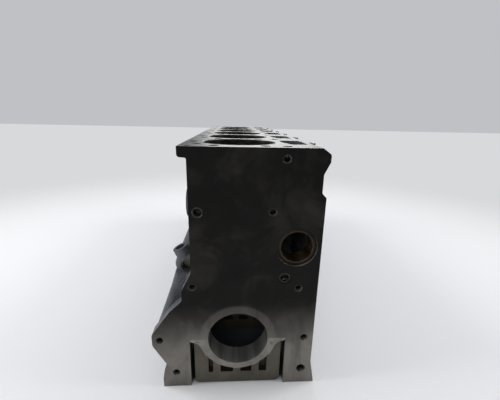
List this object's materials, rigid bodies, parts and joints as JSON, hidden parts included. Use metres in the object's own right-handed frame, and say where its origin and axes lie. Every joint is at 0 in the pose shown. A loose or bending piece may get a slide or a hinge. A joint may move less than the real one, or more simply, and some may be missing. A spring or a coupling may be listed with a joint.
{
  "type": "engine block",
  "caption": "bare cylinder block of an inline diesel engine, with main bearing caps, cap bolts, camshaft bushes, oil gallery plugs and core plugs",
  "frame": {"origin": "where the crankshaft axis meets the machined face of the flywheel end", "axes": "+Y along the crankshaft away from the flywheel end, +X towards the camshaft side, +Z from the crankshaft up to the deck"},
  "size_m": [0.284, 0.849, 0.419],
  "materials": {
    "cast_block": "grey iron, machined faces lightly oiled, cast sides as from the wash tank",
    "bearing_cap": "ductile iron, machined ring and joint, cast pockets",
    "bolt_steel": "black-oiled high-tensile steel",
    "bush_bronze": "steel-backed bronze, bored",
    "plug_steel": "pressed sheet steel, dull zinc"
  },
  "bodies": {
    "root": {"block_casting": "cast_block", "main_cap_1": "bearing_cap", "main_cap_2": "bearing_cap", "main_cap_3": "bearing_cap", "main_cap_4": "bearing_cap", "main_cap_5": "bearing_cap", "main_cap_6": "bearing_cap", "main_cap_7": "bearing_cap", "main_cap_bolts": "bolt_steel", "main_cap_dowels": "bolt_steel", "cam_bush_1": "bush_bronze", "cam_bush_2": "bush_bronze", "cam_bush_3": "bush_bronze", "cam_bush_4": "bush_bronze", "cam_bush_5": "bush_bronze", "cam_bush_6": "bush_bronze", "cam_bush_7": "bush_bronze", "core_plug_1": "plug_steel", "core_plug_2": "plug_steel", "core_plug_3": "plug_steel", "core_plug_4": "plug_steel", "core_plug_5": "plug_steel", "core_plug_6": "plug_steel", "oil_gallery_plug_flywheel_end": "plug_steel", "oil_gallery_plug_timing_end": "plug_steel", "side_gallery_plug_flywheel_end": "plug_steel", "side_gallery_plug_timing_end": "plug_steel"}
  },
  "joints": []
}
